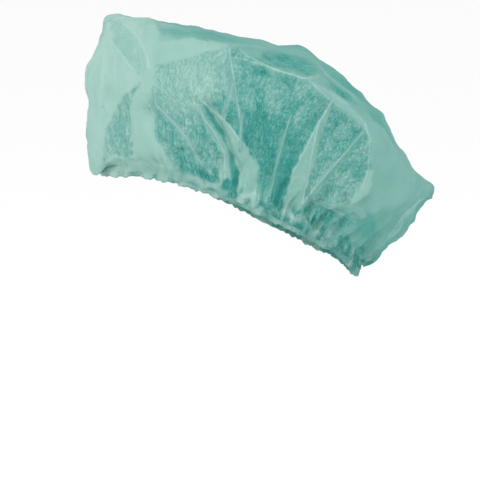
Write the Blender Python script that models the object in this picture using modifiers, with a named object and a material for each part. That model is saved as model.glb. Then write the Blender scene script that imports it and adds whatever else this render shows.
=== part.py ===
# Disposable hair cover cap in its worn form: a round cut of thin nonwoven cloth, gathered
# into a folded hem that holds an elastic band round the head.
# Metres, +Z up. The wearer faces -Y and has the left side at +X.
# The origin is the centre of the head opening.

import math
from collections import namedtuple

import bmesh
import bpy
from mathutils import Vector

# The head opening is an oval, higher at the forehead than at the nape and raised at the sides.
OPENING_LENGTH = 0.204
OPENING_WIDTH = 0.160
OPENING_SLOPE = math.radians(22.0)
OPENING_SIDE_LIFT = 0.0135

# How far the puffed cloth reaches from the centre of the opening.
FRONT_REACH = 0.106
BACK_REACH = 0.152
SIDE_REACH = 0.108
CROWN_RISE = 0.150

# Cloth, hem and elastic.
CLOTH_WALL = 0.0012
HEM_WALL = 0.0010
BAND_WALL = 0.0012
BAND_HEIGHT = 0.0030
CLOTH_IN_HEM = 0.0030
CLEARANCE = 0.0003

# How far folds stand proud, gathers sink in and the hem's ruffles stand out.
FOLD_RISE = 0.0040
FOLD_WIDTH = 0.0240
PRESSED_DEPTH = 0.0050
GATHER_DEPTH = 0.0034
RUFFLE_DEPTH = 0.0007
GATHERS = 22
RUFFLES = 44

# Facets of the cloth and of the loops.
SPOKES = 88
CLOTH_ROWS = 22
HEM_FACETS = 132
BAND_FACETS = 72

CHANNEL_HALF = BAND_WALL / 2 + CLEARANCE
HEM_HALF = CHANNEL_HALF + HEM_WALL
BAND_FOOT = HEM_WALL + CLEARANCE
BAND_TOP = BAND_FOOT + BAND_HEIGHT
CLOTH_FOOT = BAND_TOP + CLEARANCE
HEM_TOP = CLOTH_FOOT + CLOTH_IN_HEM

# Rings of the worn cloth from just above the hem to the middle of the crown. share is how
# far in the ring lies on the flat round cut, 0 at its edge and 1 at its middle. The other
# columns are shares of FRONT_REACH, BACK_REACH, SIDE_REACH and CROWN_RISE.
Ring = namedtuple("Ring", "share front_out front_up back_out back_up side_out side_up")
CLOTH_RINGS = (
    Ring(0.10, 0.965, 0.33, 0.73, -0.195, 0.83, 0.16),
    Ring(0.18, 0.975, 0.42, 0.83, -0.125, 0.90, 0.26),
    Ring(0.30, 0.970, 0.59, 0.92, -0.025, 0.96, 0.41),
    Ring(0.40, 0.995, 0.73, 0.98, 0.055, 1.00, 0.53),
    Ring(0.48, 0.95, 0.86, 1.00, 0.110, 0.99, 0.63),
    Ring(0.54, 0.88, 0.95, 0.950, 0.195, 0.95, 0.70),
    Ring(0.60, 0.81, 1.00, 0.87, 0.290, 0.87, 0.755),
    Ring(0.72, 0.54, 0.975, 0.74, 0.470, 0.68, 0.81),
    Ring(0.84, 0.18, 0.940, 0.60, 0.660, 0.42, 0.85),
    Ring(0.93, -0.04, 0.900, 0.43, 0.805, 0.19, 0.862),
    Ring(1.00, -0.34, 0.862, 0.34, 0.862, 0.0, 0.862),
)
HEM_SHARE = 0.03
FIRST_ROW = 0.055

# The sides of each ring arch up, most at the temples on the rings near the opening.
ARCH_LEAN = 0.7
ARCH_SOFTNESS = 0.35
ARCH_SHARE = 0.4

# Folds lift the cloth away from a point this share of the way up to the crown's middle.
# They start above the hem and end before the middle. A fold is flat over the first share
# of its half width and has faded out at the second.
OUTWARD_FROM = 0.4
FOLDS_START, FOLDS_FULL = 0.03, 0.12
FOLDS_FADE, FOLDS_END = 0.85, 1.0
FOLD_FLAT, FOLD_GONE = 0.2, 1.5

# Gathers grow above the hem and fade out by half way up. They aren't evenly spaced: the
# sways are in radians, one slow and one quick for each turn round the opening.
GATHERS_FULL, GATHERS_FADE, GATHERS_END = 0.13, 0.16, 0.48
SLOW_SWAY, SLOW_TURNS = 0.05, 3
QUICK_SWAY, QUICK_TURNS = 0.03, 7

# Folds, drawn on a flat side view that is turned SIDE_TURN forward of square and tilted
# SIDE_TILT down. Each runs from its foot to its head. along is a share of BACK_REACH, up of
# CROWN_RISE, the half widths of FOLD_WIDTH, and rise of FOLD_RISE: above 0 stands proud.
SIDE_TURN = math.radians(20.0)
SIDE_TILT = math.radians(9.0)
Fold = namedtuple("Fold", "foot_along foot_up head_along head_up foot_half head_half rise")
FOLDS = (
    # the shelf, from the top of the crown down to the back of the ear
    Fold(0.33, 0.70, 0.05, 0.82, 0.35, 0.25, 0.8),
    Fold(0.60, 0.48, 0.33, 0.70, 0.45, 0.40, 0.9),
    Fold(0.65, 0.30, 0.60, 0.48, 0.45, 0.45, 0.7),
    Fold(0.57, 0.11, 0.65, 0.30, 0.45, 0.45, 0.7),
    # pleats that rise from the hem
    Fold(-0.01, 0.16, -0.15, 0.58, 0.40, 0.20, 0.6),
    Fold(0.09, 0.10, 0.02, 0.43, 0.50, 0.30, 0.9),
    Fold(0.20, 0.14, 0.29, 0.51, 0.25, 0.20, 0.5),
    Fold(0.30, 0.08, 0.47, 0.57, 0.50, 0.20, 1.0),
    Fold(0.38, 0.12, 0.60, 0.41, 0.30, 0.20, 0.5),
    Fold(0.36, 0.10, 0.60, 0.03, 0.30, 0.30, 0.6),
    # the upright band behind the forehead, and the sunk places before and behind it
    Fold(-0.36, 0.30, -0.36, 0.93, 0.50, 0.30, 0.8),
    Fold(-0.51, 0.33, -0.47, 0.60, 0.55, 0.25, -0.8),
    Fold(-0.48, 0.68, -0.46, 0.90, 0.60, 0.40, -0.5),
    # the soft roll along the top
    Fold(-0.31, 0.83, 0.00, 0.86, 0.40, 0.30, 0.5),
)
# The place where the cloth lies close on the side of the head, in the same shares.
PRESSED_ALONG, PRESSED_UP = 0.14, 0.44
PRESSED_HALF_ALONG, PRESSED_HALF_UP = 0.46, 0.40
PRESSED_FLAT, PRESSED_GONE = 0.6, 1.05


# The opening and the rings of the cloth

def ramp(low, high, value):
    """Rises smoothly from 0 at low to 1 at high."""
    step = min(max((value - low) / (high - low), 0.0), 1.0)
    return step * step * (3 - 2 * step)


def hem_ring(share, rise):
    """A ring of the opening's oval, raised square to the opening's plane."""
    half = OPENING_LENGTH / 2
    level, steep = math.cos(OPENING_SLOPE), math.sin(OPENING_SLOPE)
    return Ring(
        share,
        half * level - rise * steep,
        half * steep + rise * level,
        half * level + rise * steep,
        rise * level - half * steep,
        OPENING_WIDTH / 2,
        OPENING_SIDE_LIFT + rise * level,
    )


def real_ring(row):
    """A row of CLOTH_RINGS in metres."""
    return Ring(
        row.share,
        row.front_out * FRONT_REACH,
        row.front_up * CROWN_RISE,
        row.back_out * BACK_REACH,
        row.back_up * CROWN_RISE,
        row.side_out * SIDE_REACH,
        row.side_up * CROWN_RISE,
    )


def ring_point(ring, around):
    """The point of a ring at an angle from the front, towards the wearer's left."""
    ahead, side = math.cos(around), math.sin(around)
    low = 1 - ramp(HEM_SHARE, ARCH_SHARE, ring.share)
    temple = side * side * (1 + ARCH_SOFTNESS) / (abs(side) + ARCH_SOFTNESS) * (1 + ARCH_LEAN * ahead)
    arch = side * side + (temple - side * side) * low
    middle = (ring.back_out - ring.front_out) / 2
    half = (ring.back_out + ring.front_out) / 2
    level = (ring.front_up + ring.back_up) / 2
    tilt = (ring.front_up - ring.back_up) / 2
    return Vector((
        ring.side_out * side,
        middle - half * ahead,
        level + tilt * ahead + (ring.side_up - level) * arch,
    ))


def ring_at(rings, share):
    """The ring at a share, on a smooth curve through the rows."""
    index = 0
    while index < len(rings) - 2 and rings[index + 1].share < share:
        index += 1
    start, end = rings[index], rings[index + 1]
    before = rings[max(index - 1, 0)]
    after = rings[min(index + 2, len(rings) - 1)]
    span = end.share - start.share
    step = (share - start.share) / span
    values = []
    for low, first, last, high in zip(before, start, end, after):
        slope_in = (last - low) / (end.share - before.share) * span
        slope_out = (high - first) / (after.share - start.share) * span
        values.append(
            first * (1 + 2 * step) * (1 - step) ** 2
            + slope_in * step * (1 - step) ** 2
            + last * step ** 2 * (3 - 2 * step)
            - slope_out * step ** 2 * (1 - step)
        )
    return Ring(*values)


# Folds, gathers and the pressed side

def side_view(point):
    """A point's place on the flat side view, the same for both sides of the cap."""
    side = abs(point.x)
    toward = side * math.cos(SIDE_TURN) - point.y * math.sin(SIDE_TURN)
    along = side * math.sin(SIDE_TURN) + point.y * math.cos(SIDE_TURN)
    up = point.z * math.cos(SIDE_TILT) - toward * math.sin(SIDE_TILT)
    return Vector((along, up))


def fold_rise(fold, place):
    """How far one fold lifts the cloth at a place on the side view."""
    foot = Vector((fold.foot_along * BACK_REACH, fold.foot_up * CROWN_RISE))
    head = Vector((fold.head_along * BACK_REACH, fold.head_up * CROWN_RISE))
    line = head - foot
    step = min(max((place - foot).dot(line) / line.length_squared, 0.0), 1.0)
    half = FOLD_WIDTH * (fold.foot_half + (fold.head_half - fold.foot_half) * step)
    away = (place - foot - line * step).length
    return fold.rise * FOLD_RISE * (1 - ramp(FOLD_FLAT * half, FOLD_GONE * half, away))


def pressed(place):
    """1 where the cloth lies closest on the side of the head, 0 outside that place."""
    along = (place.x / BACK_REACH - PRESSED_ALONG) / PRESSED_HALF_ALONG
    up = (place.y / CROWN_RISE - PRESSED_UP) / PRESSED_HALF_UP
    return 1 - ramp(PRESSED_FLAT, PRESSED_GONE, math.hypot(along, up))


def gather(around, share):
    """1 in the valley of a gather and 0 on its crest, fading out up the cloth."""
    sway = SLOW_SWAY * math.cos(SLOW_TURNS * around) + QUICK_SWAY * math.sin(QUICK_TURNS * around)
    valley = 0.5 - 0.5 * math.cos(GATHERS * (around + sway))
    grown = ramp(HEM_SHARE, GATHERS_FULL, share)
    return valley * grown * (1 - ramp(GATHERS_FADE, GATHERS_END, share))


# Objects

def material(name, colour, roughness):
    """A Principled material of one colour."""
    finish = bpy.data.materials.new(name)
    finish.use_nodes = True
    shader = finish.node_tree.nodes["Principled BSDF"]
    shader.inputs["Base Color"].default_value = (*colour, 1.0)
    shader.inputs["Roughness"].default_value = roughness
    shader.inputs["Metallic"].default_value = 0.0
    return finish


def add_object(name, mesh, finish, collection):
    """A new object from a finished bmesh."""
    data = bpy.data.meshes.new(name)
    mesh.to_mesh(data)
    mesh.free()
    data.materials.append(finish)
    data.shade_smooth()
    piece = bpy.data.objects.new(name, data)
    collection.objects.link(piece)
    return piece


def mapped_grid(across, up, place):
    """A grid of across by up cells, with each corner moved to place(column, row)."""
    mesh = bmesh.new()
    bmesh.ops.create_grid(mesh, x_segments=across, y_segments=up, size=1.0)
    for corner in mesh.verts:
        column = round((corner.co.x + 1) / 2 * across)
        row = round((corner.co.y + 1) / 2 * up)
        corner.co = place(column, row)
    bmesh.ops.remove_doubles(mesh, verts=mesh.verts, dist=0.00001)
    bmesh.ops.recalc_face_normals(mesh, faces=mesh.faces)
    return mesh


def crown(collection):
    """The round cut of cloth, from its edge inside the hem to its middle."""
    hem_rings = [hem_ring(0.0, CLOTH_FOOT), hem_ring(HEM_SHARE, HEM_TOP + CLOTH_WALL)]
    rings = hem_rings + [real_ring(row) for row in CLOTH_RINGS]
    step = (1 - FIRST_ROW) / CLOTH_ROWS
    shares = [0.0, HEM_SHARE] + [FIRST_ROW + step * row for row in range(CLOTH_ROWS + 1)]
    middle = ring_point(rings[-1], 0.0)

    def place(column, row):
        share = shares[row]
        around = 2 * math.pi * (column % SPOKES) / SPOKES
        if row < len(hem_rings):
            return ring_point(hem_rings[row], around)
        if row == len(shares) - 1:
            return middle
        point = ring_point(ring_at(rings, share), around)
        drawn = side_view(point)
        lift = sum(fold_rise(fold, drawn) for fold in FOLDS)
        lift -= PRESSED_DEPTH * pressed(drawn)
        lift *= ramp(FOLDS_START, FOLDS_FULL, share) * (1 - ramp(FOLDS_FADE, FOLDS_END, share))
        outward = point - middle * OUTWARD_FROM
        outward.z = max(outward.z, 0.0)
        outward.normalize()
        inward = Vector((-math.sin(around), math.cos(around), 1.0)).normalized()
        return point + outward * lift + inward * GATHER_DEPTH * gather(around, share)

    mesh = mapped_grid(SPOKES, len(shares) - 1, place)
    finish = material("green_nonwoven", (0.27, 0.53, 0.45), 0.85)
    piece = add_object("crown", mesh, finish, collection)
    wall = piece.modifiers.new("wall", "SOLIDIFY")
    wall.thickness = CLOTH_WALL
    wall.offset = 0.0


def loop(name, section, facets, finish, collection):
    """A closed section, swept round the opening: section(around) lists (out, up) pairs."""
    oval = hem_ring(0.0, 0.0)
    upright = Vector((0.0, math.sin(OPENING_SLOPE), math.cos(OPENING_SLOPE)))
    half_facet = math.pi / facets

    def place(column, row):
        around = 2 * math.pi * (column % facets) / facets
        corners = section(around)
        out, up = corners[row % len(corners)]
        point = ring_point(oval, around)
        along = ring_point(oval, around + half_facet) - ring_point(oval, around - half_facet)
        outward = along.cross(upright).normalized()
        return point + outward * out + upright * up

    mesh = mapped_grid(facets, len(section(0.0)), place)
    add_object(name, mesh, finish, collection)


def hem(collection):
    """The folded casing: two leaves and a rounded foot, ruffled on the outside."""
    def section(around):
        ruffle = RUFFLE_DEPTH * (0.5 + 0.5 * math.cos(RUFFLES * around))
        return (
            (-HEM_HALF, HEM_TOP),
            (-CHANNEL_HALF, HEM_TOP),
            (-CHANNEL_HALF, HEM_WALL),
            (CHANNEL_HALF, HEM_WALL),
            (CHANNEL_HALF, HEM_TOP),
            (HEM_HALF + ruffle, HEM_TOP),
            (HEM_HALF + ruffle, HEM_WALL),
            (CHANNEL_HALF + ruffle, -ruffle),
            (-CHANNEL_HALF, 0.0),
            (-HEM_HALF, HEM_WALL),
        )

    finish = material("green_nonwoven_hem", (0.20, 0.45, 0.38), 0.85)
    loop("hem", section, HEM_FACETS, finish, collection)


def elastic(collection):
    """The flat elastic band that lies in the foot of the hem."""
    def section(around):
        half = BAND_WALL / 2
        return ((-half, BAND_TOP), (-half, BAND_FOOT), (half, BAND_FOOT), (half, BAND_TOP))

    finish = material("white_elastic", (0.75, 0.76, 0.74), 0.7)
    loop("elastic", section, BAND_FACETS, finish, collection)


def main():
    for old in list(bpy.data.objects):
        bpy.data.objects.remove(old, do_unlink=True)
    collection = bpy.data.collections.new("disposable_hair_cover_cap")
    bpy.context.scene.collection.children.link(collection)
    crown(collection)
    hem(collection)
    elastic(collection)


main()
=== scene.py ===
import math
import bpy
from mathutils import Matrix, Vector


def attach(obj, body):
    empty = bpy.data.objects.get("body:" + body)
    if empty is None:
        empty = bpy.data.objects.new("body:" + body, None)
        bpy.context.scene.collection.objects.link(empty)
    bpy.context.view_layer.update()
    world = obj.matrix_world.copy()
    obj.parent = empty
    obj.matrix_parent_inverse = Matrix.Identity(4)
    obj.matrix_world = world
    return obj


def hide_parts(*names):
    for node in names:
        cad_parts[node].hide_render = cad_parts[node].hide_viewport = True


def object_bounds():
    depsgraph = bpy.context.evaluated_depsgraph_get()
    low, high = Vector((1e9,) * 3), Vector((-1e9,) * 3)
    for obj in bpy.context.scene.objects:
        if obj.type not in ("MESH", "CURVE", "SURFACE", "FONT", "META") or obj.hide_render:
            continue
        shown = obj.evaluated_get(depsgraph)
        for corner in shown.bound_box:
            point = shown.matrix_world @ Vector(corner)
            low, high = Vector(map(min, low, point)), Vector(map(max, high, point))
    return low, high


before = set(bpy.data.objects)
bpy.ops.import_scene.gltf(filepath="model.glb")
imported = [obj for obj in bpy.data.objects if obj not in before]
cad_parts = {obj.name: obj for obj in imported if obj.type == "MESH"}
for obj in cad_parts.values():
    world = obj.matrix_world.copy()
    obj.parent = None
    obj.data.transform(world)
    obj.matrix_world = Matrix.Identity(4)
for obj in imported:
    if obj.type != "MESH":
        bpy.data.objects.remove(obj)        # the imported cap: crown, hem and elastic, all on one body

from types import SimpleNamespace

import bmesh
import bpy
import numpy as np
from mathutils import Vector, noise

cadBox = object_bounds()
body = "root"


# Camera, at the photo's viewing angle

camera = {
    "azimuth": 70.0,         # degrees round from the front, towards the cap's left side
    "elevation": 9.7,
    "distance": 2.0,         # far away with a long lens, as such pictures are taken
    "frameWidth": 0.3505,    # metres across the picture at the cap
    "aimRight": 0.0083,      # the cap stands a little left of and above the middle
    "aimUp": -0.0142,
}


def viewFrom(c):
    # the direction from the cap to the camera
    turn, rise = math.radians(c["azimuth"]), math.radians(c["elevation"])
    return Vector((math.sin(turn) * math.cos(rise), -math.cos(turn) * math.cos(rise), math.sin(rise)))


def addCamera(c):
    back = viewFrom(c)
    right = Vector((math.cos(math.radians(c["azimuth"])), math.sin(math.radians(c["azimuth"])), 0.0))
    up = back.cross(right)
    lens = bpy.data.cameras.new("camera")
    lens.sensor_width = 36.0
    lens.lens = 36.0 * c["distance"] / c["frameWidth"]
    lens.clip_end = 60.0
    made = bpy.data.objects.new("camera", lens)
    made.location = right * c["aimRight"] + up * c["aimUp"] + back * c["distance"]
    made.rotation_mode = "QUATERNION"
    made.rotation_quaternion = (-back).to_track_quat("-Z", "Y")
    bpy.context.scene.collection.objects.link(made)
    bpy.context.scene.camera = made


addCamera(camera)
print("camera done")


# Small helpers

mm = 0.001               # the tables of folds are in millimetres


def ramp(low, high, value):
    # rises smoothly from 0 at low to 1 at high
    step = np.clip((value - low) / (high - low), 0.0, 1.0)
    return step * step * (3 - 2 * step)


def linearColour(code):
    parts = [int(code[i:i + 2], 16) / 255 for i in (1, 3, 5)]
    return [p / 12.92 if p <= 0.04045 else ((p + 0.055) / 1.055) ** 2.4 for p in parts] + [1.0]


def addNode(tree, kind, settings=None, links=None):
    node = tree.nodes.new(kind)
    for name, value in (settings or {}).items():
        if isinstance(name, int) or name in node.inputs:
            node.inputs[name].default_value = value
        else:
            setattr(node, name, value)
    for name, source in (links or {}).items():
        tree.links.new(source, node.inputs[name])
    return node


def newMaterial(name):
    made = bpy.data.materials.new(name)
    made.use_nodes = True
    made.node_tree.nodes.clear()
    return made, made.node_tree


# The worn form: the same opening and rings as the solids

opening = {
    "length": 0.204, "width": 0.160, "slope": math.radians(22.0), "sideLift": 0.0135,
    "clothFoot": 0.0026,     # height of the cloth's edge, which hangs over the hem
    "hemTop": 0.0088,        # height at which the cloth leaves the hem
}
reach = {"front": 0.106, "back": 0.152, "side": 0.108, "rise": 0.150}

# share in from the edge, front out, front up, back out, back up, side out, side up
clothRings = (
    (0.10, 0.950, 0.345, 0.73, -0.185, 0.795, 0.205),
    (0.18, 0.975, 0.43, 0.83, -0.125, 0.885, 0.28),
    (0.30, 0.970, 0.59, 0.92, -0.025, 0.96, 0.41),
    (0.40, 0.995, 0.73, 0.98, 0.055, 1.00, 0.53),
    (0.48, 0.95, 0.86, 1.00, 0.110, 0.99, 0.63),
    (0.54, 0.88, 0.95, 0.950, 0.195, 0.95, 0.70),
    (0.60, 0.81, 1.00, 0.87, 0.290, 0.87, 0.755),
    (0.72, 0.54, 0.975, 0.74, 0.470, 0.68, 0.81),
    (0.84, 0.18, 0.940, 0.60, 0.660, 0.42, 0.85),
    (0.93, -0.04, 0.900, 0.43, 0.805, 0.19, 0.862),
    (1.00, -0.34, 0.862, 0.34, 0.862, 0.0, 0.862),
)
hemShare = 0.03
archLean, archSoftness, archShare = 0.7, 0.35, 0.4


def hemRing(share, rise):
    half = opening["length"] / 2
    level, steep = math.cos(opening["slope"]), math.sin(opening["slope"])
    return (share, half * level - rise * steep, half * steep + rise * level,
            half * level + rise * steep, rise * level - half * steep,
            opening["width"] / 2, opening["sideLift"] + rise * level)


def realRings():
    scale = np.array((1, reach["front"], reach["rise"], reach["back"], reach["rise"],
                      reach["side"], reach["rise"]))
    rows = [hemRing(0.0, opening["clothFoot"]), hemRing(hemShare, opening["hemTop"])]
    return np.array(rows + [tuple(np.array(row) * scale) for row in clothRings])


def ringAt(rings, share):
    # one ring on a smooth curve through the rows
    index = 0
    while index < len(rings) - 2 and rings[index + 1][0] < share:
        index += 1
    start, end = rings[index], rings[index + 1]
    before, after = rings[max(index - 1, 0)], rings[min(index + 2, len(rings) - 1)]
    span = end[0] - start[0]
    step = (share - start[0]) / span
    slopeIn = (end - before) / (end[0] - before[0]) * span
    slopeOut = (after - start) / (after[0] - start[0]) * span
    return (start * (1 + 2 * step) * (1 - step) ** 2 + slopeIn * step * (1 - step) ** 2
            + end * step ** 2 * (3 - 2 * step) - slopeOut * step ** 2 * (1 - step))


def ringPoints(ring, around):
    # points of one ring, at angles from the front towards the cap's left side
    share, frontOut, frontUp, backOut, backUp, sideOut, sideUp = ring
    ahead, side = np.cos(around), np.sin(around)
    low = 1 - ramp(hemShare, archShare, share)
    bowed = side ** 2 * (1 + archSoftness) / (np.abs(side) + archSoftness) * (1 + archLean * ahead)
    arch = side ** 2 + (bowed - side ** 2) * low
    level, tilt = (frontUp + backUp) / 2, (frontUp - backUp) / 2
    return np.stack((sideOut * side,
                     (backOut - frontOut) / 2 - (backOut + frontOut) / 2 * ahead,
                     level + tilt * ahead + (sideUp - level) * arch), axis=-1)


# Folds are drawn in millimetres on a flat side view, the same for both sides of the cap

sideView = {
    "turn": math.radians(90 - camera["azimuth"]), "tilt": math.radians(camera["elevation"]),
    "centre": (camera["aimRight"] * 1000, camera["aimUp"] * 1000), "distance": camera["distance"] * 1000,
    "farShift": (9.0, -6.0),     # the far side's folds lie this much elsewhere, in mm
    "farFrom": 0.045,            # and do so in full this far from the middle, in metres
}


def onSideView(points, mirrored=True):
    side = np.abs(points[..., 0]) if mirrored else points[..., 0]
    turn, tilt = sideView["turn"], sideView["tilt"]
    toward = side * math.cos(turn) - points[..., 1] * math.sin(turn)
    along = side * math.sin(turn) + points[..., 1] * math.cos(turn)
    up = points[..., 2] * math.cos(tilt) - toward * math.sin(tilt)
    depth = toward * math.cos(tilt) + points[..., 2] * math.sin(tilt)
    # what stands nearer is seen larger
    larger = sideView["distance"] / (sideView["distance"] - 1000 * depth)
    flat = np.stack((along, up), axis=-1) * 1000 - sideView["centre"]
    flat = flat * larger[..., None] + sideView["centre"]
    if mirrored:
        flat += ramp(0.0, sideView["farFrom"], -points[..., 0])[..., None] * np.array(sideView["farShift"])
    return flat


# name, line of (along, up, width share) from foot to tip, half width in mm on the left and
# the right of the line, share of it that is flat, rise in mm, tone, light on the left edge
strokes = (
    ("shelf edge", ((8, 124, .5), (34, 111, .7), (52, 104, .8), (74, 90, 1), (90, 75, 1), (98, 63, 1),
                    (101, 50, 1), (101, 39, 1), (97, 26, .9), (88, 16, .6)), 15, 2.4, .1, 4.6, None, 0),
    ("shelf line", ((5, 119, .7), (19, 115, 1), (32, 111, 1), (46, 107, 1), (54, 104, 1.1), (62, 105, .9),
                    (67, 107, .5)), 1.3, 1.3, .4, 0, .60, -.2),
    ("upper shelf line", ((8, 125, .6), (13, 120, 1), (20, 117, 1), (32, 111, .8)), .8, .8, .3, 0, .58, 0),
    ("shelf band", ((58, 102, .35), (64, 97, .7), (72, 92, 1), (81, 85, 1.25), (91, 76, 1.1), (98, 70, .8),
                    (103, 59, .5)), 2.6, 2.6, .5, 0, .60, .2),
    ("band over the hollow", ((0, 127, .6), (19, 127.5, 1), (38, 126, 1), (53, 122, 1), (64, 116, 1),
                              (70, 109, .6)), 1.5, 1.5, .4, 0, .56, 0),
    ("line behind the hollow", ((70, 108, .6), (85, 95, 1), (98, 86, 1), (108, 76, .5)),
     .9, .9, .4, 0, .56, 0),
    # the dark channel is painted shade in its hollow
    ("channel", ((7, 23, 1), (0, 52, 1), (-10, 72, .7), (-18, 86, .2)), 2.6, 2.6, .3, -1.2, .12, 0),
    ("pleat", ((-2, 12, 1.3), (-2, 21, 1.3), (-3, 52, 1), (-14, 69, .75), (-25, 90, .2)),
     3.4, 3.4, .5, 2.0, .60, .2),
    ("broad pleat", ((12, 2, 1), (13, 11, .95), (15, 37, 1), (7, 53, .8), (-3, 70, .45), (-18, 90, .12)),
     7.4, 7.4, .6, 2.3, .70, .2),
    ("narrow ridge", ((30, 18, .8), (32, 30, 1), (38, 52, 1), (46, 77, .6)), 1.6, 2.2, .3, 1.3, .28, .2),
    ("long wedge", ((50, -9, 1.1), (47, 0, 1), (47, 12, 1.02), (53, 34, .98), (58, 46, .8), (63, 59, .55),
                    (70, 75, .3), (76, 87, .12)), 7.4, 7.4, .6, 2.4, .62, .2),
    ("crease to shelf", ((55, 11, 1.2), (61, 19, 1), (81, 45, 1), (98, 64, .8)), 1.6, 2.4, .3, 1.2, .44, .1),
    ("low fold", ((60, 14, .3), (74, 11.5, .9), (86, 9, 1.5), (96, 4, 1.6)), 2.8, 2.4, .4, 2.4, .54, .1),
    ("front band", ((-55, 38, 1.9), (-57, 46, 1.5), (-60, 54, 1.3), (-65, 68, 1), (-67, 82, .72),
                    (-60, 95, .76), (-56, 117, .5), (-57, 148, .9)), 7.6, 7.6, .4, 2.0, .82, .05),
    ("crease behind band", ((-54, 97, .5), (-53, 84, .8), (-42, 74, 1), (-31, 61, 1), (-24, 47, 1),
                            (-12, 34, .8)), 2.0, 2.4, .3, 1.3, .56, .1),
    ("front line", ((-93, 84, .5), (-92, 103, 1), (-90, 117, 1), (-88, 146, .8)), 2.2, 2.2, .2, 1.2, .97, 0),
    ("front crease", ((-86, 130, .6), (-73, 114, 1), (-64, 103, .5)), 1.6, 1.6, .2, .9, .90, 0),
    ("facet edge", ((-77, 144, .6), (-66, 133, 1), (-60, 123, 1), (-59, 112, .6)), 1.8, 1.8, .2, .8, .92, 0),
    ("thin crease", ((9, 50, .8), (9, 75, 1), (5, 88, 1), (1, 110, 1), (0, 126, .8)),
     1.7, 1.7, .2, 1.0, .50, 0),
    ("short crease", ((-4, 70, .6), (-3, 80, 1), (1, 99, .8), (0, 112, .5)), 1.6, 1.6, .2, .8, .52, 0),
    ("hem band", ((-94, 43, 1), (-71, 43, 1), (-57, 38, 1)), 3.2, 3.2, .4, .6, .84, 0),
    ("hem band behind it", ((-57, 38, 1), (-40, 33, 1), (-20, 28, .9), (-8, 25, .6)),
     3.4, 3.4, .4, .6, .68, 0),
    ("back edge", ((146, 18, .4), (137, 11, 1), (128, 3, 1), (119, -12, 1), (111, -22, .6)),
     1.9, 1.5, .3, .8, .60, 0),
)
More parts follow.
